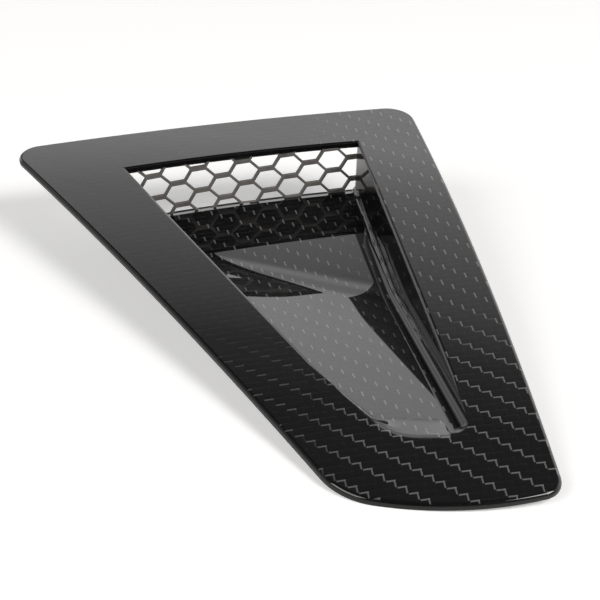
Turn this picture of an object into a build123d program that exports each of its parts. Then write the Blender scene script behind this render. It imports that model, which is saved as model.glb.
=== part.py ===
"""Air intake in the NACA manner: a carbon-fibre moulding with a flat flange, a ramp that sinks from the
narrow end to an open throat under the flange, and a hexagonal mesh bonded over that throat.

Frame: the flange's seat is the plane z = 0, +Z points out of the body panel, and +Y runs from the narrow
end to the throat. The origin is the middle of the flange's box on its seat. Millimetres and degrees.
"""
from build123d import *
import math
import os

# Flange outline: the chords between its sharp corners, then the bow and the rounding of each
RIGHT_LENGTH = 155.2
RIGHT_LEAN = 3.6
FAR_WIDTH = 111.8
FAR_SWEEP = 3.7
NEAR_WIDTH = 43.1
NEAR_SWEEP = 8.4
RIGHT_BOW = 2.1
FAR_BOW = 2.2
LEFT_HOLLOW = 1.7
NEAR_BOW = 3.6
FAR_RIGHT_RADIUS = 7.5
FAR_LEFT_RADIUS = 6.0
NEAR_LEFT_RADIUS = 15.0
NEAR_RIGHT_RADIUS = 5.0

# Laminate and the rounding of its outer edge
LAMINATE = 1.4
OUTER_EDGE_ROUND = 0.9

# Opening: margins from the flange's chords, at the ends of each chord
FAR_MARGIN = 16.8
RIGHT_MARGIN_FAR = 18.2
RIGHT_MARGIN_NEAR = 12.9
LEFT_MARGIN_FAR = 23.0
LEFT_MARGIN_NEAR = 16.2
NEAR_MARGIN = 15.6
LIP_BOW = 1.1
OPENING_LEFT_RADIUS = 13.0
OPENING_RIGHT_RADIUS = 4.0
WALL_DRAFT = 2.0
THROAT_LEAN = 7.0

# Ramp: a profile seen from the right, carried across on a skewed line
THROAT_DEPTH = 14.9
FLOOR_SLOPE = 1.1
BEND_FROM_LIP = 54.4
BEND_RADIUS = 64.0
RUN_OUT = 7.5
ROLL_RADIUS = 25.0
MOUTH_ANGLE = 5.0
RAMP_SKEW = 29.0
CROSS_TILT = 1.12
FLOOR_FILLET = 2.0

# Upward roll at the end of the floor, along the lip
SILL_REACH = 9.6
SILL_RADIUS = 80.0

# Expanded mesh: cell pitches, the bonds between cells in a column and the thinner strands between columns
MESH_THICKNESS = 0.9
MESH_LAP = 1.0
CELL_COLUMN_PITCH = 6.05
CELL_ROW_PITCH = 6.3
BOND_LENGTH = 3.5
BOND_WIDTH = 1.1
STRAND_WIDTH = 0.6
CELL_ACROSS = -5.35
CELL_DEPTH = 7.8
MESH_LEAN = 0.127
MESH_RISE = 0.0414

# Adhesive bead that holds the mesh on the trimmed end of the moulding
BEAD_SETBACK = 0.5
BEAD_HEAD = 0.3
BEAD_REACH = 2.2
BEAD_COVER = 0.7

# Reach of cutting bodies past what they cut, and the upright share of a normal that parts floors from walls
REACH = 8.0
STEEP = 0.3


def step(start, length, angle):
    """The point at a length from start, along an angle from +X."""
    return start + Vector(length, 0, 0).rotate(Axis.Z, angle)


def meet(a, b, c, d):
    """The point where the line through a and b crosses the line through c and d."""
    u = b - a
    w = d - c
    share = ((c.X - a.X) * w.Y - (c.Y - a.Y) * w.X) / (u.X * w.Y - u.Y * w.X)
    return a + u * share


def inward(a, b, margin):
    """The vector of a length to the left of the way from a to b, which is inside an anticlockwise outline."""
    return (b - a).normalized().rotate(Axis.Z, 90) * margin


def bowed(a, b, bow):
    """An arc from a to b that stands out to the right of its chord by the bow."""
    return ThreePointArc(a, (a + b) * 0.5 - inward(a, b, bow), b)


def rounded(face, corners):
    """The face with the corner nearest to each given point rounded."""
    for point, radius in corners:
        face = fillet(face.vertices().sort_by_distance(point)[0], radius)
    return face


def at_height(face, z):
    return Pos(0, 0, z) * face


# Corners of the flange, moved so that the origin is the middle of its box
corner_near_right = Vector(0, 0, 0)
corner_far_right = step(corner_near_right, RIGHT_LENGTH, 90 - RIGHT_LEAN)
corner_far_left = step(corner_far_right, FAR_WIDTH, 180 + FAR_SWEEP)
corner_near_left = step(corner_near_right, NEAR_WIDTH, 180 - NEAR_SWEEP)


def flange_outline():
    """The flange's face at z = 0, with its corners still where they were laid out."""
    edges = [
        bowed(corner_near_right, corner_far_right, RIGHT_BOW),
        bowed(corner_far_right, corner_far_left, FAR_BOW),
        bowed(corner_far_left, corner_near_left, -LEFT_HOLLOW),
        bowed(corner_near_left, corner_near_right, NEAR_BOW),
    ]
    return rounded(make_face(edges), [
        (corner_near_right, NEAR_RIGHT_RADIUS),
        (corner_far_right, FAR_RIGHT_RADIUS),
        (corner_far_left, FAR_LEFT_RADIUS),
        (corner_near_left, NEAR_LEFT_RADIUS),
    ])


middle = flange_outline().bounding_box().center()
to_origin = Pos(-middle.X, -middle.Y, 0)
outline = to_origin * flange_outline()
near_right = corner_near_right - middle
far_right = corner_far_right - middle
far_left = corner_far_left - middle
near_left = corner_near_left - middle

# Rim lines of the opening, each from its margin at one chord end to its margin at the other
rim_right = (near_right + inward(near_right, far_right, RIGHT_MARGIN_NEAR),
             far_right + inward(near_right, far_right, RIGHT_MARGIN_FAR))
rim_far = (far_right + inward(far_right, far_left, FAR_MARGIN),
           far_left + inward(far_right, far_left, FAR_MARGIN))
rim_left = (far_left + inward(far_left, near_left, LEFT_MARGIN_FAR),
            near_left + inward(far_left, near_left, LEFT_MARGIN_NEAR))
rim_near = (near_left + inward(near_left, near_right, NEAR_MARGIN),
            near_right + inward(near_left, near_right, NEAR_MARGIN))
lip_right = meet(*rim_right, *rim_far)
lip_left = meet(*rim_far, *rim_left)
mouth_left = meet(*rim_left, *rim_near)
mouth_right = meet(*rim_near, *rim_right)


lip_across = (lip_right - lip_left).normalized()
lip_half = (lip_right - lip_left).length / 2
lip_middle = (lip_left + lip_right) * 0.5


def long_opening():
    """The opening's face on the flange's top, carried on past the lip."""
    past_right = lip_right + (lip_right - mouth_right).normalized() * REACH
    past_left = lip_left + (lip_left - mouth_left).normalized() * REACH
    face = make_face(Polyline(mouth_right, past_right, past_left, mouth_left, close=True))
    return rounded(face, [(mouth_left, OPENING_LEFT_RADIUS), (mouth_right, OPENING_RIGHT_RADIUS)])


def front_of_lip():
    """A face on the flange's top in front of the lip's arc, wider than the opening."""
    radius = (lip_half**2 + LIP_BOW**2) / (2 * LIP_BOW)
    half = lip_half + REACH
    bow = radius - math.sqrt(radius**2 - half**2)
    back = inward(lip_right, lip_left, 1)
    right = lip_middle + lip_across * half + back * (bow - LIP_BOW)
    left = lip_middle - lip_across * half + back * (bow - LIP_BOW)
    near = back * RIGHT_LENGTH
    edges = [bowed(right, left, bow), Polyline(left, left + near, right + near, right)]
    return make_face(edges)


def drafted(face, draft, grow):
    """A block whose drafted sides pass a face's outline on the flange's top, grown by a length."""
    rise = REACH * math.tan(math.radians(draft))
    top = at_height(offset(face, grow + rise, kind=Kind.INTERSECTION), LAMINATE + REACH)
    return extrude(top, amount=THROAT_DEPTH + 2 * REACH + LAMINATE, dir=(0, 0, -1), taper=draft)


# Ramp profile at the right rim, in its own plane: across is +Y of the part, up is +Z
bend_y = lip_right.Y - BEND_FROM_LIP
bend_z = LAMINATE - THROAT_DEPTH + BEND_FROM_LIP * math.tan(math.radians(FLOOR_SLOPE))
roll_y = mouth_right.Y - RUN_OUT
flush_gap = ROLL_RADIUS * (1 - math.cos(math.radians(MOUTH_ANGLE)))
skew_line = Vector(math.cos(math.radians(RAMP_SKEW)), -math.sin(math.radians(RAMP_SKEW)),
                   math.tan(math.radians(CROSS_TILT)))
fall_line = Vector(0, 1, -math.tan(math.radians(FLOOR_SLOPE)))
floor_up = skew_line.cross(fall_line).normalized()
floor_end = Vector(lip_right.X, lip_right.Y, LAMINATE - THROAT_DEPTH)


def air_above_ramp(drop):
    """The space above the ramp, with the ramp lowered by a length."""
    reach = FAR_WIDTH + RIGHT_LENGTH
    low = [
        (roll_y - reach, LAMINATE + flush_gap - drop),
        (roll_y, LAMINATE + flush_gap - drop),
        (bend_y, bend_z - drop),
        (bend_y + reach, bend_z - reach * math.tan(math.radians(FLOOR_SLOPE)) - drop),
    ]
    top = LAMINATE + 3 * REACH
    floor = FilletPolyline(*low, radius=[ROLL_RADIUS, BEND_RADIUS])
    lid = Polyline(low[-1], (low[-1][0], top), (low[0][0], top), low[0])
    side = Plane(origin=(lip_right.X, 0, 0), x_dir=(0, 1, 0), z_dir=(1, 0, 0))
    return extrude(side * make_face([floor, lid]), amount=FAR_WIDTH, dir=skew_line, both=True)


def air_above_sill(drop):
    """The space above the roll that lifts the floor's end along the lip, lowered by a length."""
    to_lip = floor_up.cross(lip_across).normalized()
    across = Plane(origin=floor_end - floor_up * drop - to_lip * SILL_REACH, x_dir=to_lip,
                   z_dir=to_lip.cross(floor_up))
    radius = SILL_RADIUS + drop
    turn = math.degrees(math.asin((SILL_REACH + REACH) / radius))
    roll = CenterArc((0, radius), radius, -90, turn)
    top = THROAT_DEPTH + 2 * REACH
    end = roll @ 1
    rest = Polyline(end, (end.X, top), (-RIGHT_LENGTH, top), (-RIGHT_LENGTH, -top), (0, -top), roll @ 0)
    return extrude(across * make_face([roll, rest]), amount=FAR_WIDTH, both=True)


def filleted_floor(block, radius):
    """The block with the edges where its floor meets the side walls rounded, apart from its far end."""
    walls = [f for f in block.faces() if abs(f.normal_at().Z) < STEEP]
    floors = [f for f in block.faces() if f.normal_at().Z < -STEEP]
    end = sorted(walls, key=lambda f: f.center().Y)[-1]
    wall_edges = [e for f in walls if f is not end for e in f.edges()]
    edges = [e for f in floors for e in f.edges() if any(e.is_same(w) for w in wall_edges)]
    return fillet(edges, radius)


def tunnel(grow):
    """The duct's space carried on past the lip, with its walls and floor moved out by a length."""
    block = drafted(long_opening(), WALL_DRAFT, grow) & air_above_ramp(grow)
    return filleted_floor(block, FLOOR_FILLET + grow) & air_above_sill(grow)


before_lip = drafted(front_of_lip(), THROAT_LEAN, 0)
under_seat = Pos(0, 0, -RIGHT_LENGTH / 2) * Box(2 * FAR_WIDTH, 2 * RIGHT_LENGTH, RIGHT_LENGTH)

# Throat plane: its origin is the middle of the lip, across is along the lip and up is +Z
throat = Plane(origin=lip_middle, x_dir=lip_across, z_dir=lip_across.rotate(Axis.Z, -90))


def behind_lip(thickness):
    """A skin of a thickness on the throat side of the lip's surface, below the flange."""
    return (drafted(front_of_lip(), THROAT_LEAN, thickness) - before_lip) & under_seat


def duct_body():
    plate = extrude(outline, amount=LAMINATE)
    plate = fillet(plate.faces().sort_by(Axis.Z)[-1].edges(), OUTER_EDGE_ROUND)
    inside_flange = extrude(at_height(outline, LAMINATE), amount=-RIGHT_LENGTH)
    tub = tunnel(LAMINATE) & before_lip & inside_flange
    air = tunnel(0)
    return plate + tub - (air & before_lip) - (air & under_seat)


def stretched(across, up):
    """A point of the sheet in the throat plane, after the sheet is drawn out of square."""
    return CELL_ACROSS + across - MESH_LEAN * up, -CELL_DEPTH + up + MESH_RISE * across


def cell_hole(across, up):
    """One cell of the mesh: a hexagon with level bonds above and below and a point on each side."""
    half_height = (CELL_ROW_PITCH - BOND_WIDTH) / 2
    reach = CELL_COLUMN_PITCH - BOND_LENGTH / 2
    run = reach - BOND_LENGTH / 2
    rise = CELL_ROW_PITCH / 2
    tip = reach - STRAND_WIDTH / 2 * math.hypot(run, rise) / rise
    shoulder = tip - half_height * run / rise
    points = [(tip, 0), (shoulder, half_height), (-shoulder, half_height),
              (-tip, 0), (-shoulder, -half_height), (shoulder, -half_height)]
    return make_face(Polyline(*[stretched(across + x, up + y) for x, y in points], close=True))


def mesh_cells():
    """The cells' holes over the whole sheet, in staggered columns, carried through the sheet."""
    columns = math.ceil((lip_half + abs(CELL_ACROSS)) / CELL_COLUMN_PITCH) + 1
    rows = math.ceil(THROAT_DEPTH / 2 / CELL_ROW_PITCH) + 1
    holes = []
    for column in range(-columns, columns + 1):
        lift = CELL_ROW_PITCH / 2 if column % 2 else 0
        for row in range(-rows, rows + 1):
            holes.append(cell_hole(column * CELL_COLUMN_PITCH, lift + row * CELL_ROW_PITCH))
    return extrude(throat * (Sketch() + holes), amount=REACH, both=True)


def mesh_grille():
    """The sheet with its cells, without the clippings that come loose at its border."""
    cut = (behind_lip(MESH_THICKNESS) & tunnel(MESH_LAP)) - mesh_cells()
    return cut.solids().sort_by(SortBy.VOLUME)[-1]


def mesh_adhesive(mesh):
    hollow = tunnel(BEAD_SETBACK) & (Pos(0, 0, -BEAD_HEAD) * under_seat)
    return (behind_lip(MESH_THICKNESS + BEAD_COVER) & tunnel(BEAD_REACH)) - hollow - mesh


mesh = mesh_grille()
nodes = {
    "duct_body": duct_body(),
    "mesh_grille": mesh,
    "mesh_adhesive": mesh_adhesive(mesh),
}
os.makedirs("parts", exist_ok=True)
for name, solid in nodes.items():
    export_step(solid, f"parts/{name}.step")
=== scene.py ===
import bpy
import math
import numpy as np
from mathutils import Matrix, Vector
from mathutils.geometry import tessellate_polygon


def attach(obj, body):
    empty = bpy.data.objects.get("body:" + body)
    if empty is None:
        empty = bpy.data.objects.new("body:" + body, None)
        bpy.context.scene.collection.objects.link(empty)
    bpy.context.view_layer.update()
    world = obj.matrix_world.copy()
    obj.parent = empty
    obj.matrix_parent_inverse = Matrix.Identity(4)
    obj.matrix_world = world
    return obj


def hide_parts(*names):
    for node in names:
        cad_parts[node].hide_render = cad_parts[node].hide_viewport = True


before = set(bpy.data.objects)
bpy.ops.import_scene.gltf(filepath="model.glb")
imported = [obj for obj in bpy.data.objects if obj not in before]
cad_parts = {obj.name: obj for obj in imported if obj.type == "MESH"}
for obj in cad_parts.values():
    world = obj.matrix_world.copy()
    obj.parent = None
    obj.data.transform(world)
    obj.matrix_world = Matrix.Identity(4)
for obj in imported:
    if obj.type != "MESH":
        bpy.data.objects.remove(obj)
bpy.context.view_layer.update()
MM = 0.001

# The flange, in millimetres and degrees
RIGHT_LENGTH, RIGHT_LEAN = 155.2, 3.6
FAR_WIDTH, FAR_SWEEP = 111.8, 3.7
NEAR_WIDTH, NEAR_SWEEP = 43.1, 8.4
RIGHT_BOW, FAR_BOW, LEFT_HOLLOW, NEAR_BOW = 2.1, 2.2, 1.7, 3.6
FAR_RIGHT_RADIUS, FAR_LEFT_RADIUS, NEAR_LEFT_RADIUS, NEAR_RIGHT_RADIUS = 7.5, 6.0, 15.0, 5.0
LAMINATE = 1.4
EDGE_ROUND = 0.9

# The opening in the flange
FAR_MARGIN = 16.8
RIGHT_MARGIN_FAR, RIGHT_MARGIN_NEAR = 18.2, 12.9
LEFT_MARGIN_FAR, LEFT_MARGIN_NEAR = 23.0, 16.2
NEAR_MARGIN = 15.6
LIP_BOW = 1.1
OPENING_LEFT_RADIUS, OPENING_RIGHT_RADIUS = 13.0, 4.0

# The walls, the throat and the ramp
DRAFT = math.tan(math.radians(2.0))
THROAT_LEAN = math.tan(math.radians(7.0))
THROAT_DEPTH = 14.9
FLOOR_SLOPE = math.tan(math.radians(1.1))
BEND_FROM_LIP, BEND_RADIUS = 54.4, 64.0
RUN_OUT, ROLL_RADIUS, MOUTH_ANGLE = 7.5, 25.0, 5.0
SKEW_ANGLE, TILT_ANGLE = math.radians(29.0), math.radians(1.12)
SKEW = math.tan(SKEW_ANGLE)
TILT = math.tan(TILT_ANGLE) / math.cos(SKEW_ANGLE)
SILL_REACH, SILL_RADIUS = 9.6, 80.0

# Small forms of the scene alone. The rim's rounding and the floor's fillet shrink toward the throat, between two y.
RIM_ROUND, LIP_ROUND, RIM_EASE = 1.0, 0.5, (30.0, 50.0)
FLOOR_FILLET, THROAT_FILLET, FILLET_EASE = 3.4, 1.2, (31.0, 42.0)
ROUND_SHARE = 0.8  # the most of a low wall that its rounding takes
# The near edge rolls over: its reach on both sides of the rim, and the runs in which its slope comes and goes
ROLL_BEFORE, ROLL_AFTER, ROLL_RISE, ROLL_FALL = 1.0, 7.0, 1.8, 1.5
CORNER_ROLL, ROLL_SAMPLES_LEFT, ROLL_SAMPLES_RIGHT = 0.85, 5, 4
# A slight swelling in the middle of the ramp, in its normals only
NECK_AT, NECK_WIDE, NECK_EASE = np.array([19.0, 7.0]), 9.0, 0.024

# Points along the runs of the mesh, and steps of the searches for a point
CORNER_COUNT, SIDE_COUNT, EDGE_COUNT = 25, 61, 8
HALF_ARC, LONG, ACROSS_LINE = 13, 110, 30
RIM_COUNT, FILLET_COUNT = 7, 10
LIP_COUNT = 2 * (HALF_ARC - 1) + ACROSS_LINE
ROUND_STEPS, CORNER_STEPS, LIP_STEPS = 20, 6, 4
LEAST_WALL = 0.05
WELD_DIGITS = 4


def vec(x, y):
    return np.array([x, y], float)


def step(start, length, angle):
    a = math.radians(angle)
    return start + length * vec(math.cos(a), math.sin(a))


def left_of(a, b):
    """Unit vector to the left of the way from a to b, which is inside an anticlockwise outline."""
    u = (b - a) / np.linalg.norm(b - a)
    return vec(-u[1], u[0])


def meet(a, b, c, d):
    """Where the line through a and b meets the line through c and d."""
    u, w = b - a, d - c
    share = ((c[0] - a[0]) * w[1] - (c[1] - a[1]) * w[0]) / (u[0] * w[1] - u[1] * w[0])
    return a + u * share


class Side:
    """One side of an anticlockwise outline: a line, or an arc that stands out from its chord by the bow."""

    def __init__(self, a, b, bow=0.0):
        self.a = a
        self.inner = left_of(a, b)
        self.line = abs(bow) < 1e-9
        if not self.line:
            chord = np.linalg.norm(b - a)
            self.radius = (chord**2 / 4 + bow**2) / (2 * abs(bow))
            self.sign = 1.0 if bow > 0 else -1.0
            self.centre = (a + b) / 2 + self.inner * self.sign * (self.radius - abs(bow))

    def depth(self, p):
        """How far a point lies inside the side, and the direction in which that grows."""
        if self.line:
            return float((p - self.a) @ self.inner), self.inner
        away = p - self.centre
        reach = np.linalg.norm(away)
        return self.sign * (self.radius - reach), -self.sign * away / reach

    def points(self, p, q, count):
        """Points on the side from near p to near q, with their inward directions."""
        if self.line:
            spots = [p + (q - p) * t for t in np.linspace(0, 1, count)]
            return [(s, self.inner) for s in spots]
        start = math.atan2(*(p - self.centre)[::-1])
        turn = math.atan2(*(q - self.centre)[::-1]) - start
        turn = (turn + math.pi) % (2 * math.pi) - math.pi
        out = []
        for t in np.linspace(0, 1, count):
            ray = vec(math.cos(start + t * turn), math.sin(start + t * turn))
            out.append((self.centre + self.radius * ray, -self.sign * ray))
        return out


def round_corner(first, second, corner, radius):
    """Centre and touching points of the arc that rounds the corner between two sides."""
    p = corner + radius * (first.inner + second.inner)
    for _ in range(ROUND_STEPS):
        d1, g1 = first.depth(p)
        d2, g2 = second.depth(p)
        p = p + np.linalg.solve(np.array([g1, g2]), vec(radius - d1, radius - d2))
    return p, p - radius * first.depth(p)[1], p - radius * second.depth(p)[1]


def arc_points(centre, p, q, count):
    """Points on the arc from p to q, with the directions to the inside of the corner that it rounds."""
    start = math.atan2(*(p - centre)[::-1])
    turn = (math.atan2(*(q - centre)[::-1]) - start + math.pi) % (2 * math.pi) - math.pi
    radius = np.linalg.norm(p - centre)
    out = []
    for t in np.linspace(0, 1, count):
        ray = vec(math.cos(start + t * turn), math.sin(start + t * turn))
        out.append((centre + radius * ray, -ray))
    return out


# Flange corners, laid out from the near right one and then moved to the part's frame
near_right = vec(0, 0)
far_right = step(near_right, RIGHT_LENGTH, 90 - RIGHT_LEAN)
far_left = step(far_right, FAR_WIDTH, 180 + FAR_SWEEP)
near_left = step(near_right, NEAR_WIDTH, 180 - NEAR_SWEEP)


def flange_loop():
    """Points of the flange's outline, with their inward directions."""
    corners = [near_right, far_right, far_left, near_left]
    bows = [RIGHT_BOW, FAR_BOW, -LEFT_HOLLOW, NEAR_BOW]
    radii = [NEAR_RIGHT_RADIUS, FAR_RIGHT_RADIUS, FAR_LEFT_RADIUS, NEAR_LEFT_RADIUS]
    sides = [Side(corners[i], corners[(i + 1) % 4], bows[i]) for i in range(4)]
    rounds = [round_corner(sides[i - 1], sides[i], corners[i], radii[i]) for i in range(4)]
    loop = []
    for i in range(4):
        centre, enter, leave = rounds[i]
        loop += arc_points(centre, enter, leave, CORNER_COUNT)[:-1]
        loop += sides[i].points(leave, rounds[(i + 1) % 4][1], SIDE_COUNT)[:-1]
    return loop


laid_out = np.array([p for p, n in flange_loop()])
middle = (laid_out.min(0) + laid_out.max(0)) / 2
near_right, far_right, far_left, near_left = (p - middle for p in (near_right, far_right, far_left, near_left))
outline = flange_loop()

right_in = left_of(near_right, far_right)
far_in = left_of(far_right, far_left)
left_in = left_of(far_left, near_left)
near_in = left_of(near_left, near_right)
rim_right = (near_right + right_in * RIGHT_MARGIN_NEAR, far_right + right_in * RIGHT_MARGIN_FAR)
rim_far = (far_right + far_in * FAR_MARGIN, far_left + far_in * FAR_MARGIN)
rim_left = (far_left + left_in * LEFT_MARGIN_FAR, near_left + left_in * LEFT_MARGIN_NEAR)
rim_near = (near_left + near_in * NEAR_MARGIN, near_right + near_in * NEAR_MARGIN)
lip_right, lip_left = meet(*rim_right, *rim_far), meet(*rim_far, *rim_left)
mouth_left, mouth_right = meet(*rim_left, *rim_near), meet(*rim_near, *rim_right)
side_right = Side(mouth_right, lip_right)
side_lip = Side(lip_right, lip_left, LIP_BOW)
side_left = Side(lip_left, mouth_left)
side_near = Side(mouth_left, mouth_right)
round_left = round_corner(side_left, side_near, mouth_left, OPENING_LEFT_RADIUS)
round_right = round_corner(side_near, side_right, mouth_right, OPENING_RIGHT_RADIUS)

lip_in = left_of(lip_right, lip_left)


class Ramp:
    """The ramp's height over the plan: a profile of a level run, a roll, an incline, a bend and the floor."""

    def __init__(self):
        self.x0 = lip_right[0]
        flush = ROLL_RADIUS * (1 - math.cos(math.radians(MOUTH_ANGLE)))
        self.top = LAMINATE + flush
        self.roll = mouth_right[1] - RUN_OUT
        self.bend = lip_right[1] - BEND_FROM_LIP
        self.low = LAMINATE - THROAT_DEPTH + BEND_FROM_LIP * FLOOR_SLOPE
        self.incline = (self.top - self.low) / (self.bend - self.roll)
        fall = math.atan(self.incline)
        self.roll_reach = ROLL_RADIUS * math.tan(fall / 2)
        self.bend_reach = BEND_RADIUS * math.tan((fall - math.atan(FLOOR_SLOPE)) / 2)
        self.fall = fall

    def profile(self, v):
        """Height and slope of the profile at a place along it."""
        a = self.roll - self.roll_reach
        b = self.roll + self.roll_reach * math.cos(self.fall)
        c = self.bend - self.bend_reach * math.cos(self.fall)
        d = self.bend + self.bend_reach * math.cos(math.atan(FLOOR_SLOPE))
        if v < a:
            return self.top, 0.0
        if v < b:
            x = v - a
            drop = ROLL_RADIUS - math.sqrt(ROLL_RADIUS**2 - x**2)
            return self.top - drop, -x / math.sqrt(ROLL_RADIUS**2 - x**2)
        if v < c:
            return self.top - (v - self.roll) * self.incline, -self.incline
        if v < d:
            # circle that touches the floor line at d, its centre above
            angle = math.atan(FLOOR_SLOPE)
            zd = self.low - (d - self.bend) * FLOOR_SLOPE
            cx, cz = d + BEND_RADIUS * math.sin(angle), zd + BEND_RADIUS * math.cos(angle)
            x = v - cx
            drop = math.sqrt(BEND_RADIUS**2 - x**2)
            return cz - drop, x / drop
        return self.low - (v - self.bend) * FLOOR_SLOPE, -FLOOR_SLOPE

    def at(self, p, drop=0.0):
        """Height and slopes along x and y, of the ramp or of its back at a depth under it."""
        z, g = self.profile(p[1] + SKEW * (p[0] - self.x0))
        z += TILT * (p[0] - self.x0) - drop
        grad = vec(g * SKEW + TILT, g)
        grad[1] += NECK_EASE * math.exp(-float((p - NECK_AT) @ (p - NECK_AT)) / NECK_WIDE**2)
        # the sill, which rises toward the lip and starts tangent to the floor
        past = SILL_REACH - float((p - lip_right) @ lip_in)
        if past > 0:
            radius = SILL_RADIUS + drop
            z += radius - math.sqrt(radius**2 - past**2)
            grad = grad - lip_in * past / math.sqrt(radius**2 - past**2)
        return z, grad


ramp = Ramp()


def unit(v):
    return v / np.linalg.norm(v)


def ease(value, start, stop):
    """From 0 at one value to 1 at another, level at both ends."""
    t = min(max((value - start) / (stop - start), 0.0), 1.0)
    return t * t * (3 - 2 * t)


def wall_profile(p, n, skin, drop, radius, top, rim):
    """The section of a drafted wall and its floor at a rim point, as (inward distance, height, normal, part).

    skin is how far the wall stands outside the rim, drop how far its floor is lowered."""
    zf, grad = ramp.at(p, drop)
    radius -= (FLOOR_FILLET - THROAT_FILLET) * ease(p[1], *FILLET_EASE)
    if rim > 0:
        rim -= (RIM_ROUND - LIP_ROUND) * ease(p[1], *RIM_EASE)
    g = float(grad @ n)
    lean = math.atan(DRAFT)
    nw = vec(math.cos(lean), math.sin(lean))
    nf = unit(vec(-g, 1.0))
    foot = vec(-skin, LAMINATE)
    centre = np.linalg.solve(np.array([nw, nf]), vec(nw @ foot + radius, nf @ vec(0, zf) + radius))
    t1 = centre - radius * nw
    out = []
    start = math.atan2(*(-nw)[::-1]) % (2 * math.pi)
    end = math.atan2(*(-nf)[::-1]) % (2 * math.pi)
    wall_height = top - t1[1]
    if wall_height > 0:
        round_off = min(rim, ROUND_SHARE * wall_height)
        if rim > 0:
            cz = top - round_off
            cs = (nw @ foot - round_off - cz * nw[1]) / nw[0]
            for a in np.linspace(math.pi / 2, lean, RIM_COUNT):
                ray = vec(math.cos(a), math.sin(a))
                out.append((vec(cs, cz) + round_off * ray, ray, "rim"))
        else:
            out.append((foot + vec((LAMINATE - top) * DRAFT, top - LAMINATE), nw, "rim"))
        head = out[-1][0]
        # the wall is split where it passes the plane of the seat, or else in the middle
        split = head[1] / (head[1] - t1[1]) if rim > 0 and t1[1] < -LEAST_WALL else 0.5
        for t in (split, 1.0):
            out.append((head + (t1 - head) * t, nw, "wall"))
    else:
        start = math.pi + math.asin(min(1.0, (centre[1] - top) / radius))
        edge = centre + radius * vec(math.cos(start), math.sin(start))
        out += [(edge, vec(0.0, 1.0), "rim")] * (RIM_COUNT if rim > 0 else 1)
        ray = vec(math.cos(start), math.sin(start))
        out += [(edge, -ray, "wall")] * 2
    for a in np.linspace(start, end, FILLET_COUNT)[1:]:
        ray = vec(math.cos(a), math.sin(a))
        out.append((centre + radius * ray, -ray, "fillet"))
    return out


class Skin:
    """Collects faces with a normal at every corner, and welds them into one mesh."""

    def __init__(self):
        self.corners, self.normals, self.faces, self.drape, self.zone = [], [], [], [], []

    def face(self, points, normals, zone, drape=None):
        first = len(self.corners)
        self.corners += [tuple(p) for p in points]
        self.normals += [tuple(unit(np.array(n, float))) for n in normals]
        self.drape += [tuple(d) for d in drape] if drape else [(0.0, 0.0, 0.0)] * len(points)
        self.faces.append(range(first, first + len(points)))
        self.zone.append(zone)

    def grid(self, points, normals, zone, drapes=None, flip=False):
        rows, cols = len(points), len(points[0])
        for i in range(rows - 1):
            for j in range(cols - 1):
                order = [(i, j), (i + 1, j), (i + 1, j + 1), (i, j + 1)]
                if flip:
                    order.reverse()
                self.face([points[a][b] for a, b in order], [normals[a][b] for a, b in order], zone,
                          [drapes[a][b] for a, b in order] if drapes else None)

    def flat(self, loops, normal, zone, lift):
        """Fills plan loops, the first of them outside the others, and lifts each corner with a function."""
        flatten = [[Vector((p[0], p[1], 0)) for p in loop] for loop in loops]
        everything = [p for loop in loops for p in loop]
        for tri in tessellate_polygon(flatten):
            a, b, c = (everything[i] for i in tri)
            area = (b[0] - a[0]) * (c[1] - a[1]) - (b[1] - a[1]) * (c[0] - a[0])
            if abs(area) < 1e-9:
                continue
            spots = [lift(p) for p in (a, b, c)]
            facing = np.cross(np.array(spots[1]) - spots[0], np.array(spots[2]) - spots[0]) @ np.array(normal)
            if facing < 0:
                spots.reverse()
            self.face(spots, [normal] * 3, zone)

    def build(self, name):
        index, verts, weld = {}, [], []
        for p in self.corners:
            key = tuple(round(c, WELD_DIGITS) for c in p)
            if key not in index:
                index[key] = len(verts)
                verts.append([c * MM for c in p])
            weld.append(index[key])
        faces, loops, zones = [], [], []
        for face, zone in zip(self.faces, self.zone):
            ring = []
            for c in face:
                if not ring or weld[c] != weld[ring[-1]]:
                    ring.append(c)
            if len(ring) > 1 and weld[ring[0]] == weld[ring[-1]]:
                ring.pop()
            if len(set(weld[c] for c in ring)) < 3:
                continue
            faces.append([weld[c] for c in ring])
            loops += ring
            zones.append(zone)
        mesh = bpy.data.meshes.new(name)
        mesh.from_pydata(verts, [], faces)
        mesh.polygons.foreach_set("use_smooth", [True] * len(faces))
        drape = mesh.attributes.new("drape", "FLOAT_VECTOR", "CORNER")
        drape.data.foreach_set("vector", [c * MM for i in loops for c in self.drape[i]])
        mesh.normals_split_custom_set([self.normals[i] for i in loops])
        obj = bpy.data.objects.new(name, mesh)
        bpy.context.scene.collection.objects.link(obj)
        slots = sorted(set(zones))
        mesh.polygons.foreach_set("material_index", [slots.index(z) for z in zones])
        return obj, slots


def corner_at(corner, first, second, s, e):
    """The point at distance s inside one side and e inside the other, near their corner."""
    p = corner.copy()
    for _ in range(CORNER_STEPS):
        d1, g1 = first.depth(p)
        d2, g2 = second.depth(p)
        p = p + np.linalg.solve(np.array([g1, g2]), vec(s - d1, e - d2))
    return p


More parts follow.
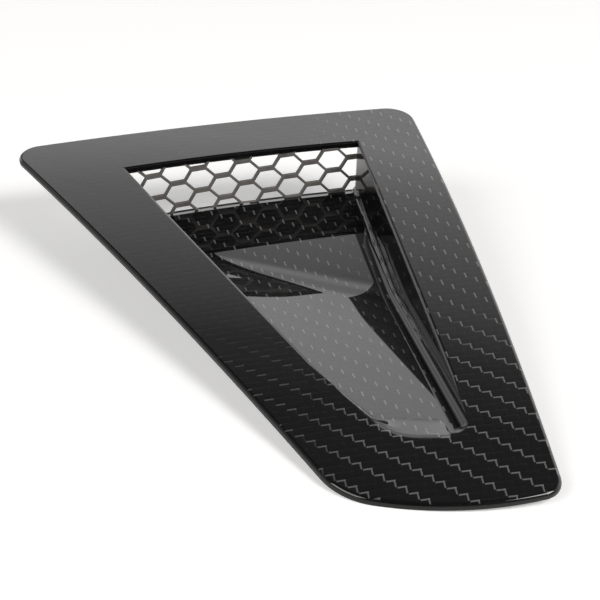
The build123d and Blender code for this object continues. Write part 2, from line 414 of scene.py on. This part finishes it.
def rim_samples():
    """Rim points for the three walls: (point, inward direction, share of the way to the lip)."""
    cl, l_in, l_out = round_left
    cr, r_in, r_out = round_right
    arc_l = arc_points(cl, l_in, l_out, 2 * HALF_ARC - 1)
    arc_r = arc_points(cr, r_in, r_out, 2 * HALF_ARC - 1)
    right = [(p, n, None) for p, n in arc_r[HALF_ARC - 1:-1]]
    right += [(r_out + (lip_right - r_out) * t, side_right.inner, t) for t in np.linspace(0, 1, LONG)]
    left = [(p, n, None) for p, n in arc_l[HALF_ARC - 1:0:-1]]
    left += [(l_in + (lip_left - l_in) * t, side_left.inner, t) for t in np.linspace(0, 1, LONG)]
    near = [(p, n, None) for p, n in arc_l[HALF_ARC - 1:-1]]
    near += [(p, n, None) for p, n in side_near.points(l_out, r_in, ACROSS_LINE)]
    near += [(p, n, None) for p, n in arc_r[1:HALF_ARC]]
    return left, right, near


def soft_step(p, n, count):
    """The section of the near edge, where the flange rolls over into the ramp without a corner."""
    span = ROLL_BEFORE + ROLL_AFTER
    z_end, grad = ramp.at(p + n * ROLL_AFTER)
    last = -float(grad @ n)
    most = (LAMINATE - z_end - last * ROLL_FALL / 2) / (span - ROLL_RISE / 2 - ROLL_FALL / 2)
    out = []
    for s in np.linspace(0, span, count):
        up = min(s, ROLL_RISE)
        on = max(0.0, min(s, span - ROLL_FALL) - ROLL_RISE)
        down = max(0.0, s - span + ROLL_FALL)
        slope = most * up / ROLL_RISE + (last - most) * down / ROLL_FALL
        fall = most * (up * up / ROLL_RISE / 2 + on + down) + (last - most) * down * down / ROLL_FALL / 2
        out.append((vec(s - ROLL_BEFORE, LAMINATE - fall), unit(vec(slope, 1.0))))
    return out


def roll_share(side, order, count):
    """How far the section at a sample of the near edge or the left wall has turned into the roll's."""
    if side is None:
        left = CORNER_ROLL + (1 - CORNER_ROLL) * ease(order, 0, ROLL_SAMPLES_LEFT)
        return min(left, ease(count - HALF_ARC - order, 0, ROLL_SAMPLES_RIGHT))
    return CORNER_ROLL * ease(order, HALF_ARC - 2, 0)


def wall_rows(samples, side, start, corner, skin, drop, radius, top, rim):
    """Rows of points and normals from the rim to the floor for each sample of a wall."""
    points, normals, parts, drapes = [], [], [], []
    for order, (p, n, share) in enumerate(samples):
        row, facing, drape = [], [], []
        section = wall_profile(p, n, skin, drop, radius, top, rim)
        if skin == 0 and share is None and side is not side_right:
            soft = roll_share(side, order, len(samples))
            rolled = soft_step(p, n, len(section))
            section = [(a + (b - a) * soft, unit(na + (nb - na) * soft), part)
                       for (a, na, part), (b, nb) in zip(section, rolled)]
        for (s, z), (ns, nz), part in section:
            if share is None:
                spot = p + n * s
            else:
                e = s if part == "rim" and skin == 0 else (LAMINATE - z) * THROAT_LEAN
                begin = start + n * s
                end = corner_at(corner, side, side_lip, s, e)
                spot = begin + (end - begin) * share
            row.append((spot[0], spot[1], z))
            facing.append((n[0] * ns, n[1] * ns, nz))
            depth = max(0.0, top - z)
            drape.append((n[0] * depth, n[1] * depth, 0.0))
        zl, gl = ramp.at(vec(row[-1][0], row[-1][1]), drop)
        row[-1] = (row[-1][0], row[-1][1], zl)
        facing[-1] = (-gl[0], -gl[1], 1.0)
        points.append(row)
        normals.append(facing)
        drapes.append(drape)
        parts = [part for _, _, part in section]
    return points, normals, parts, drapes


def coons(near, far, left, right):
    """Plan points between four border runs, as rows from near to far."""
    rows, cols = len(left), len(near)
    grid = []
    for i in range(rows):
        v = i / (rows - 1)
        line = []
        for j in range(cols):
            u = j / (cols - 1)
            p = (1 - v) * near[j] + v * far[j] + (1 - u) * left[i] + u * right[i]
            p = p - (1 - u) * (1 - v) * near[0] - u * (1 - v) * near[-1] - (1 - u) * v * far[0] - u * v * far[-1]
            line.append(p)
        grid.append(line)
    return grid


def make_side(skin_mesh, skin, drop, radius, top, rim, zone, up):
    """One face of the tub: walls and floor. Returns the runs along its rim and its end at the throat."""
    left_s, right_s, near_s = rim_samples()
    l_in, r_out = round_left[1], round_right[2]
    left = wall_rows(left_s, side_left, l_in, lip_left, skin, drop, radius, top, rim)
    right = wall_rows(right_s, side_right, r_out, lip_right, skin, drop, radius, top, rim)
    near = wall_rows(near_s, None, None, None, skin, drop, radius, top, rim)
    sign = 1.0 if up else -1.0
    for run, flip in ((left, True), (right, False), (near, False)):
        points, normals, parts, drapes = run
        normals = [[tuple(sign * c for c in n) for n in row] for row in normals]
        walls = max(i for i, part in enumerate(parts) if part == "wall")
        bare = [[(0.0, 0.0, 0.0)] * (len(parts) - walls) for _ in points]
        skin_mesh.grid([r[:walls + 1] for r in points], [r[:walls + 1] for r in normals], zone,
                       [r[:walls + 1] for r in drapes], flip != (not up))
        skin_mesh.grid([r[walls:] for r in points], [r[walls:] for r in normals], zone, bare, flip != (not up))
    ends = [np.array(run[0][-1][-1][:2]) for run in (left, right)]
    near_run = [np.array(r[-1][:2]) for r in near[0]]
    left_run = [np.array(r[-1][:2]) for r in left[0]]
    right_run = [np.array(r[-1][:2]) for r in right[0]]
    far_run = []
    for t in np.linspace(0, 1, LIP_COUNT):
        p = ends[0] + (ends[1] - ends[0]) * t
        for _ in range(LIP_STEPS):
            e = (LAMINATE - ramp.at(p, drop)[0]) * THROAT_LEAN
            d, g = side_lip.depth(p)
            p = p + g * (e - d)
        far_run.append(p)
    far_run[0], far_run[-1] = ends
    floor = coons(near_run, far_run, left_run, right_run)
    points, normals = [], []
    for line in floor:
        row, facing = [], []
        for p in line:
            z, g = ramp.at(p, drop)
            row.append((p[0], p[1], z))
            facing.append((-sign * g[0], -sign * g[1], sign))
        points.append(row)
        normals.append(facing)
    skin_mesh.grid(points, normals, zone, None, up)
    return left[0], right[0], near[0], points[-1]


def lip_run(a, b, e, z):
    """Points along the lip's arc from near a to near b, at distance e inside it and at a height."""
    run = []
    for t in np.linspace(0, 1, LIP_COUNT):
        p = a + (b - a) * t
        for _ in range(LIP_STEPS):
            d, g = side_lip.depth(p)
            p = p + g * (e - d)
        run.append((p[0], p[1], z))
    return run


def make_body():
    """The moulding as one closed skin, with the names of the zones that its material slots stand for."""
    skin = Skin()
    # tub: its rim, walls and floor, on the face and on the back
    upper = make_side(skin, 0.0, 0.0, FLOOR_FILLET, LAMINATE, RIM_ROUND, "face", True)
    lower = make_side(skin, LAMINATE, LAMINATE, FLOOR_FILLET + LAMINATE, 0.0, 0.0, "back", False)

    # lip: its rounding and its edge down to the seat
    left, right, near, far = upper
    lean = math.atan(THROAT_LEAN)
    first, last = left[-1], right[-1]
    lip_rows, lip_normals = [], []
    for k in range(RIM_COUNT):
        a, b = np.array(first[k][:2]), np.array(last[k][:2])
        run = lip_run(a, b, side_lip.depth(a)[0], first[k][2])
        run[0], run[-1] = first[k], last[k]
        lip_rows.append(run)
    # the walls are split at the plane of the seat, where the lip's edge ends too
    foot_left, foot_right = first[RIM_COUNT], last[RIM_COUNT]
    lip_foot = lip_run(np.array(foot_left[:2]), np.array(foot_right[:2]), LAMINATE * THROAT_LEAN, 0.0)
    lip_foot[0], lip_foot[-1] = foot_left, foot_right
    for k in range(RIM_COUNT + 1):
        a = math.pi / 2 + (lean - math.pi / 2) * min(k / (RIM_COUNT - 1), 1.0)
        line = []
        for p in (lip_rows + [lip_foot])[k]:
            g = side_lip.depth(vec(p[0], p[1]))[1]
            line.append((g[0] * math.cos(a), g[1] * math.cos(a), math.sin(a)))
        lip_normals.append(line)
    skin.grid(lip_rows + [lip_foot], lip_normals, "face", None, False)

    # flange faces
    hole = [r[0] for r in near[:-1]] + [r[0] for r in right[:-1]] + list(reversed(lip_rows[0]))[:-1]
    hole += [r[0] for r in reversed(left)][:-1]
    inner_edge = [p + n * EDGE_ROUND for p, n in outline]
    skin.flat([[tuple(p) for p in inner_edge], [h[:2] for h in hole]], (0, 0, 1), "face",
              lambda q: (q[0], q[1], LAMINATE))
    back_left, back_right, back_near, back_far = lower
    back_hole = [r[0] for r in back_near[:-1]] + [r[0] for r in back_right] + list(reversed(lip_foot))
    back_hole += [r[0] for r in reversed(back_left)][:-1]
    skin.flat([[tuple(p) for p, n in outline], [h[:2] for h in back_hole]], (0, 0, -1), "back",
              lambda q: (q[0], q[1], 0.0))

    # trimmed end of the walls and the floor at the throat
    inner = [foot_left] + first[RIM_COUNT:] + far[1:-1] + last[:RIM_COUNT - 1:-1] + [foot_right]
    outer = back_left[-1] + back_far[1:-1] + back_right[-1][::-1]
    facing = [(-lip_in[0], -lip_in[1], 0.0)] * len(inner)
    skin.grid([inner, outer], [facing, facing], "back", None, False)

    # outer edge
    rows, normals = [], []
    loop = outline + outline[:1]
    for a in np.linspace(math.pi / 2, 0, EDGE_COUNT):
        rows.append([(*(p + n * EDGE_ROUND * (1 - math.cos(a))), LAMINATE - EDGE_ROUND * (1 - math.sin(a)))
                     for p, n in loop])
        normals.append([(-n[0] * math.cos(a), -n[1] * math.cos(a), math.sin(a)) for p, n in loop])
    skin.grid(rows, normals, "face", None, False)
    foot = [(p[0], p[1], 0.0) for p, n in loop]
    side = [(-n[0], -n[1], 0.0) for p, n in loop]
    skin.grid([rows[-1], foot], [side, side], "face", None, False)
    return skin.build("duct_skin")


body, zones = make_body()


class Nodes:
    """Short names for building a material's nodes."""

    def __init__(self, material):
        material.use_nodes = True
        self.tree = material.node_tree
        self.tree.nodes.clear()

    def add(self, kind, **values):
        node = self.tree.nodes.new(kind)
        for key, value in values.items():
            setattr(node, key, value)
        return node

    def link(self, source, target):
        self.tree.links.new(source, target)

    def put(self, target, value):
        if isinstance(value, bpy.types.NodeSocket):
            self.link(value, target)
        else:
            target.default_value = value

    def math(self, operation, *values):
        node = self.add("ShaderNodeMath", operation=operation)
        for socket, value in zip(node.inputs, values):
            self.put(socket, value)
        return node.outputs[0]

    def vector(self, operation, *values):
        node = self.add("ShaderNodeVectorMath", operation=operation)
        for socket, value in zip(node.inputs, values):
            self.put(socket, value)
        return node.outputs[0]

    def mix(self, share, a, b, kind="FLOAT"):
        node = self.add("ShaderNodeMix", data_type=kind)
        sockets = {"FLOAT": (0, 2, 3), "VECTOR": (0, 4, 5), "RGBA": (0, 6, 7)}[kind]
        for socket, value in zip(sockets, (share, a, b)):
            self.put(node.inputs[socket], value)
        return node.outputs[{"FLOAT": 0, "VECTOR": 1, "RGBA": 2}[kind]]

    def xyz(self, x, y, z):
        node = self.add("ShaderNodeCombineXYZ")
        for socket, value in zip(node.inputs, (x, y, z)):
            self.put(socket, value)
        return node.outputs[0]

    def parts(self, value):
        """The three parts of a vector."""
        node = self.add("ShaderNodeSeparateXYZ")
        self.link(value, node.inputs[0])
        return node.outputs

    def grow(self, value, start, stop, low=0.0, high=1.0):
        """From a low level at one place to a high one at another."""
        node = self.add("ShaderNodeMapRange", interpolation_type="SMOOTHSTEP")
        for key, amount in (("From Min", start), ("From Max", stop), ("To Min", low), ("To Max", high)):
            node.inputs[key].default_value = amount
        self.link(value, node.inputs["Value"])
        return node.outputs["Result"]

    def levels(self, value, stops):
        """A grey level along a value, from pairs of place and level."""
        node = self.add("ShaderNodeValToRGB")
        marks = node.color_ramp.elements
        for mark, (place, level) in zip((marks[0], marks[1]), (stops[0], stops[-1])):
            mark.position = place
            mark.color = (level, level, level, 1)
        for place, level in stops[1:-1]:
            marks.new(place).color = (level, level, level, 1)
        self.link(value, node.inputs[0])
        return node.outputs[0]

    def noise(self, where, scale, detail):
        node = self.add("ShaderNodeTexNoise")
        self.link(where, node.inputs["Vector"])
        node.inputs["Scale"].default_value = scale
        node.inputs["Detail"].default_value = detail
        return node.outputs["Fac"]


# The cloth, in millimetres: the pitch of its tows, its place, its slip toward the narrow end on the ramp, and how its
# wefts sag and its warps bend, twist and fan out
TOW, TWILL, TWILL_FLOAT = 2.0, 4.0, 2.0
CLOTH_X, CLOTH_Y, CLOTH_ROWS = 28.236, -20.62, 20.0
RAMP_SLIP, SLIP_EASE = 1.6, (-56.0, -46.0)
WEFT_SAG, WARP_BEND, WARP_TWIST, WARP_FAN = -8.1e-4, 5.8e-4, 3e-6, -1.43e-3
FLANGE_EASE = (0.9, 1.3)
# A tow's crown: the power and amount of its tilt, across it and along a float
ACROSS_TILT, ALONG_TILT = (3.0, 0.2), (5.0, 0.26)
# Painted glints, bright base colour that stands in for highlights off the tows, on a warp float: start, end and
# softness, in tows along it and in half widths across. Then where the painted glints fade.
FLANK_LONG, FLANK_WIDE, END_LONG = (-0.04, 1.04, 0.1), (0.5, 1.0, 0.2), (-0.02, 0.26, 0.1)
LEVEL_EASE, LEFT_FADE, LEFT_SLANT, NEAR_FADE = (0.75, 0.97), (-27.0, -6.0), -0.2, (5.0, -24.0)
# the dark colour of the fibres, and the colour of the painted glints
FIBRE_COLOUR, GLINT_PAINT_COLOUR = (0.0072, 0.0068, 0.007), (0.15, 0.148, 0.146)
STREAK_LONG, STREAK_ACROSS = 0.15, 9.0
TONE_SCALE, GRAIN_SCALE = 0.71, 1.6
# Weight and roughness of the clear coat on the face and of the dull resin on the back
GLOSS_COAT, DULL_COAT = (1.0, 0.02), (0.1, 0.55)


def carbon(name, gloss):
    """Twill-woven carbon fibre under a clear coat. The cloth is a little skewed, as it lies in the mould."""
    material = bpy.data.materials.new(name)
    n = Nodes(material)
    where = n.add("ShaderNodeTexCoord").outputs["Object"]
    drape = n.add("ShaderNodeAttribute", attribute_name="drape").outputs["Vector"]
    at_x, at_y, at_z = (n.math("MULTIPLY", part, 1 / MM) for part in n.parts(n.vector("ADD", where, drape)))

    # on the ramp the cloth lies a little nearer to the narrow end, because the slope takes up length
    on_flange = n.grow(at_z, *FLANGE_EASE)
    on_ramp = n.math("SUBTRACT", 1.0, on_flange)
    slip = n.math("MULTIPLY", n.math("MULTIPLY", on_ramp, n.grow(at_y, *SLIP_EASE)), RAMP_SLIP)
    x = n.math("SUBTRACT", at_x, CLOTH_X)
    y = n.math("ADD", n.math("SUBTRACT", at_y, CLOTH_Y), slip)

    # the place in the cloth, counted in tows: two rounds are enough for its slight bends
    across, along = x, None
    for _ in range(2):
        along = n.math("SUBTRACT", n.math("MULTIPLY", n.math("MULTIPLY", across, across), WEFT_SAG), y)
        square = n.math("MULTIPLY", along, along)
        bend = n.math("MULTIPLY", square, n.math("MULTIPLY_ADD", along, WARP_TWIST, WARP_BEND))
        across = n.math("DIVIDE", n.math("ADD", x, bend), n.math("MULTIPLY_ADD", along, WARP_FAN, 1.0))
    u = n.math("DIVIDE", across, TOW)
    v = n.math("MULTIPLY_ADD", along, 1 / TOW, -CLOTH_ROWS)
    tow_u, tow_v = n.math("FLOOR", u), n.math("FLOOR", v)
    warp_at = n.math("FLOORED_MODULO", n.math("SUBTRACT", v, tow_u), TWILL)
    weft_at = n.math("FLOORED_MODULO", n.math("SUBTRACT", u, tow_v), TWILL)
    is_warp = n.math("LESS_THAN", warp_at, TWILL_FLOAT)
    warp_long = n.math("SUBTRACT", warp_at, TWILL_FLOAT / 2)
    weft_long = n.math("SUBTRACT", weft_at, TWILL / 2)
    warp_wide = n.math("MULTIPLY_ADD", n.math("FRACT", u), 2.0, -1.0)
    weft_wide = n.math("MULTIPLY_ADD", n.math("FRACT", v), 2.0, -1.0)

    def steep(value, power, amount):
        size = n.math("POWER", n.math("ABSOLUTE", value), power)
        return n.math("MULTIPLY", n.math("MULTIPLY", n.math("SIGN", value), size), amount)

    tilt_x = n.mix(is_warp, steep(weft_long, *ALONG_TILT), steep(warp_wide, *ACROSS_TILT))
    tilt_y = n.mix(is_warp, steep(weft_wide, *ACROSS_TILT), steep(warp_long, *ALONG_TILT))
    tilt_y = n.math("MULTIPLY", tilt_y, -1.0)
    flat = n.add("ShaderNodeNewGeometry").outputs["Normal"]
    woven = n.vector("NORMALIZE", n.vector("ADD", flat, n.xyz(tilt_x, tilt_y, 0.0)))
    fibre = n.mix(is_warp, (1.0, 0.0, 0.0), (0.0, 1.0, 0.0), "VECTOR")

    def between(value, low, high, soft):
        """1 between two places on a coordinate, with soft ends."""
        rise = n.math("DIVIDE", n.math("SUBTRACT", value, low), soft)
        fall = n.math("DIVIDE", n.math("SUBTRACT", high, value), soft)
        return n.math("MINIMUM", n.math("MAXIMUM", n.math("MINIMUM", rise, fall), 0.0), 1.0)

    # painted glints, bright base colour that stands in for highlights: the right flank of a warp float, and its far
    # end
    flank = n.math("MULTIPLY", between(warp_at, *FLANK_LONG), between(warp_wide, *FLANK_WIDE))
    far_end = n.math("MULTIPLY", between(warp_at, *END_LONG), is_warp)
    left_fade = n.grow(n.math("MULTIPLY_ADD", y, LEFT_SLANT, x), *LEFT_FADE)
    flank_share = n.mix(on_flange, 1.0, left_fade)
    end_share = n.math("MULTIPLY", n.math("MULTIPLY", on_flange, n.grow(y, *NEAR_FADE)),
                       n.math("MULTIPLY_ADD", left_fade, 0.5, 0.5))
    painted_glint = n.math("MAXIMUM", n.math("MULTIPLY", flank, flank_share), n.math("MULTIPLY", far_end, end_share))
    painted_glint = n.math("MULTIPLY", painted_glint, n.grow(n.parts(flat)[2], *LEVEL_EASE))

    # each tow has a tone of its own, and fine streaks along its fibres; the offsets keep warps and wefts apart
    tow = n.mix(is_warp, n.xyz(tow_v, 7.3, 0.0), n.xyz(tow_u, 0.0, 3.1), "VECTOR")
    tone = n.noise(tow, TONE_SCALE, 0.0)
    weft_spot = n.xyz(n.math("MULTIPLY", u, STREAK_LONG), n.math("MULTIPLY", v, STREAK_ACROSS), 0.0)
    warp_spot = n.xyz(n.math("MULTIPLY", u, STREAK_ACROSS), n.math("MULTIPLY", v, STREAK_LONG), 0.0)
    grain = n.noise(n.mix(is_warp, weft_spot, warp_spot, "VECTOR"), GRAIN_SCALE, 2.0)
    shade = n.math("MULTIPLY_ADD", grain, 0.5, n.math("MULTIPLY_ADD", tone, 0.5, 0.5))
    dark = n.vector("SCALE", FIBRE_COLOUR)
    n.link(shade, dark.node.inputs["Scale"])
    # painted highlight: the glint mask mixes a bright colour into the dark fibres
    colour = n.mix(painted_glint, dark, GLINT_PAINT_COLOUR, "VECTOR")

    shader = n.add("ShaderNodeBsdfPrincipled")
    n.link(colour, shader.inputs["Base Color"])
    shader.inputs["Metallic"].default_value = 0.25
    shader.inputs["Specular IOR Level"].default_value = 0.0
    n.link(n.math("MULTIPLY_ADD", grain, 0.12, 0.3), shader.inputs["Roughness"])
    shader.inputs["Anisotropic"].default_value = 0.6
    n.link(fibre, shader.inputs["Tangent"])
    n.link(woven, shader.inputs["Normal"])
    weight, roughness = GLOSS_COAT if gloss else DULL_COAT
    shader.inputs["Coat Weight"].default_value = weight
    shader.inputs["Coat Roughness"].default_value = roughness
    shader.inputs["Coat IOR"].default_value = 1.5
    output = n.add("ShaderNodeOutputMaterial")
    n.link(shader.outputs[0], output.inputs[0])
    return material


face_carbon = carbon("carbon_face", True)
back_carbon = carbon("carbon_back", False)
for zone in zones:
    body.data.materials.append(face_carbon if zone == "face" else back_carbon)
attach(body, "root")
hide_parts("duct_body")


def metal():
    material = bpy.data.materials.new("mesh_metal")
    n = Nodes(material)
    where = n.add("ShaderNodeTexCoord").outputs["Object"]
    wear = n.noise(where, 420.0, 3.0)
    shader = n.add("ShaderNodeBsdfPrincipled")
    ramp_node = n.add("ShaderNodeValToRGB")
    ramp_node.color_ramp.elements[0].color = (0.1, 0.09, 0.08, 1)
    ramp_node.color_ramp.elements[1].color = (0.26, 0.245, 0.225, 1)
    n.link(wear, ramp_node.inputs[0])
    n.link(ramp_node.outputs[0], shader.inputs["Base Color"])
    shader.inputs["Metallic"].default_value = 0.25
    n.link(n.math("MULTIPLY_ADD", wear, 0.2, 0.55), shader.inputs["Roughness"])
    output = n.add("ShaderNodeOutputMaterial")
    n.link(shader.outputs[0], output.inputs[0])
    return material


def adhesive():
    material = bpy.data.materials.new("adhesive_bead")
    n = Nodes(material)
    where = n.add("ShaderNodeTexCoord").outputs["Object"]
    lumps = n.noise(where, 600.0, 3.0)
    shader = n.add("ShaderNodeBsdfPrincipled")
    shader.inputs["Base Color"].default_value = (0.012, 0.012, 0.013, 1)
    n.link(n.math("MULTIPLY_ADD", lumps, 0.3, 0.25), shader.inputs["Roughness"])
    bump = n.add("ShaderNodeBump")
    bump.inputs["Strength"].default_value = 0.5
    bump.inputs["Distance"].default_value = 0.0003
    n.link(lumps, bump.inputs["Height"])
    n.link(bump.outputs[0], shader.inputs["Normal"])
    output = n.add("ShaderNodeOutputMaterial")
    n.link(shader.outputs[0], output.inputs[0])
    return material


def dress(node, material):
    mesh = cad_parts[node].data
    mesh.materials.clear()
    mesh.materials.append(material)


dress("mesh_grille", metal())
dress("mesh_adhesive", adhesive())

# Table under the part, which lies on its narrow end and on the heel of the ramp
TABLE_UP, TABLE_AT, TABLE_SPAN = Vector((0.061, 0.1511, 0.9866)), (0.0085, -0.0735, -0.0001), 3.0
PAPER_GLOW = 0.36


def paper():
    """Pale paper that looks a little brighter to the camera than the lamps make it."""
    material = bpy.data.materials.new("paper")
    n = Nodes(material)
    plain = n.add("ShaderNodeBsdfDiffuse")
    plain.inputs["Color"].default_value = (0.82, 0.81, 0.79, 1)
    glow = n.add("ShaderNodeEmission")
    seen = n.add("ShaderNodeLightPath").outputs["Is Camera Ray"]
    n.link(n.math("MULTIPLY", seen, PAPER_GLOW), glow.inputs["Strength"])
    both = n.add("ShaderNodeAddShader")
    n.link(plain.outputs[0], both.inputs[0])
    n.link(glow.outputs[0], both.inputs[1])
    n.link(both.outputs[0], n.add("ShaderNodeOutputMaterial").inputs[0])
    return material


table_mesh = bpy.data.meshes.new("table")
table_corners = [(x * TABLE_SPAN, y * TABLE_SPAN, 0) for x, y in ((-1, -1), (1, -1), (1, 1), (-1, 1))]
table_mesh.from_pydata(table_corners, [], [(0, 1, 2, 3)])
table_mesh.materials.append(paper())
table = bpy.data.objects.new("table", table_mesh)
bpy.context.scene.collection.objects.link(table)
table_turn = TABLE_UP.normalized().to_track_quat("Z", "Y").to_matrix().to_4x4()
table.matrix_world = Matrix.Translation(TABLE_AT) @ table_turn

# Studio: grey levels of a direction's height and of its way to the right, and the growth toward the back
HEIGHT_LEVELS = ((0.285, 0.86), (0.33, 0.62), (0.4, 0.66), (0.45, 0.95), (0.485, 0.97), (0.515, 0.66), (0.55, 0.49),
                 (0.58, 0.34), (0.612, 0.14), (0.648, 0.07), (1.0, 0.03))
HEIGHT_LIFT, HEIGHT_LEAN = 0.008, -0.05
SIDE_LEVELS = ((0.1, 0.3), (0.2, 1.0), (0.29, 1.0), (0.335, 0.2), (0.405, 0.16), (0.44, 0.5), (0.485, 1.0))
BACK_FROM, BACK_TO, FRONT_LEVEL, BACK_LEVEL = -0.6, 0.3, 0.3, 2.1
DIFFUSE_SHARE = 0.4


def studio():
    """White to the camera, a bright sweep behind the part and a darker room above it."""
    world = bpy.data.worlds.new("studio")
    bpy.context.scene.world = world
    n = Nodes(world)
    aim_x, aim_y, aim_z = n.parts(n.add("ShaderNodeTexCoord").outputs["Generated"])
    height = n.levels(n.math("MULTIPLY_ADD", aim_x, HEIGHT_LEAN, n.math("ADD", aim_z, HEIGHT_LIFT)), HEIGHT_LEVELS)
    sideways = n.levels(n.math("MULTIPLY_ADD", aim_x, 0.5, 0.5), SIDE_LEVELS)
    back = n.grow(aim_y, BACK_FROM, BACK_TO, FRONT_LEVEL, BACK_LEVEL)
    level = n.math("MULTIPLY", n.math("MULTIPLY", height, back), sideways)
    path = n.add("ShaderNodeLightPath")
    share = n.math("MULTIPLY_ADD", path.outputs["Is Glossy Ray"], 1 - DIFFUSE_SHARE, DIFFUSE_SHARE)
    sky = n.add("ShaderNodeBackground")
    n.link(n.mix(path.outputs["Is Camera Ray"], n.math("MULTIPLY", level, share), 1.0), sky.inputs["Strength"])
    n.link(sky.outputs[0], n.add("ShaderNodeOutputWorld").inputs[0])


def soft_box(name, place, width, depth, power):
    """An area lamp that is aimed at the part."""
    lamp = bpy.data.lights.new(name, "AREA")
    lamp.shape = "RECTANGLE"
    lamp.size, lamp.size_y = width, depth
    lamp.energy = power
    obj = bpy.data.objects.new(name, lamp)
    bpy.context.scene.collection.objects.link(obj)
    obj.location = place
    obj.rotation_euler = (-Vector(place)).to_track_quat("-Z", "Y").to_euler()


studio()
soft_box("key", (1.24, -0.84, 1.5), 1.0, 1.0, 34.0)
soft_box("fill", (-1.6, -0.6, 1.5), 1.6, 1.2, 29.0)

# Camera: focal length and width of the picture in pixels, place in millimetres, and the way it looks
FOCAL_PX, PICTURE_PX, SENSOR = 1297.4, 600.0, 36.0
CAMERA_AT = Vector((-40.264, -240.16, 172.88))
CAMERA_RIGHT, CAMERA_AHEAD = Vector((0.9821, -0.188, 0.0152)), Vector((0.1608, 0.7926, -0.5882))
camera_data = bpy.data.cameras.new("camera")
camera_data.sensor_width = SENSOR
camera_data.lens = SENSOR * FOCAL_PX / PICTURE_PX
camera_data.clip_start = 0.01
camera = bpy.data.objects.new("camera", camera_data)
bpy.context.scene.collection.objects.link(camera)
backward = -CAMERA_AHEAD.normalized()
upward = backward.cross(CAMERA_RIGHT).normalized()
basis = Matrix((upward.cross(backward), upward, backward)).transposed().to_4x4()
basis.translation = CAMERA_AT * MM
camera.matrix_world = basis
bpy.context.scene.camera = camera

bpy.context.scene.view_settings.view_transform = "Standard"
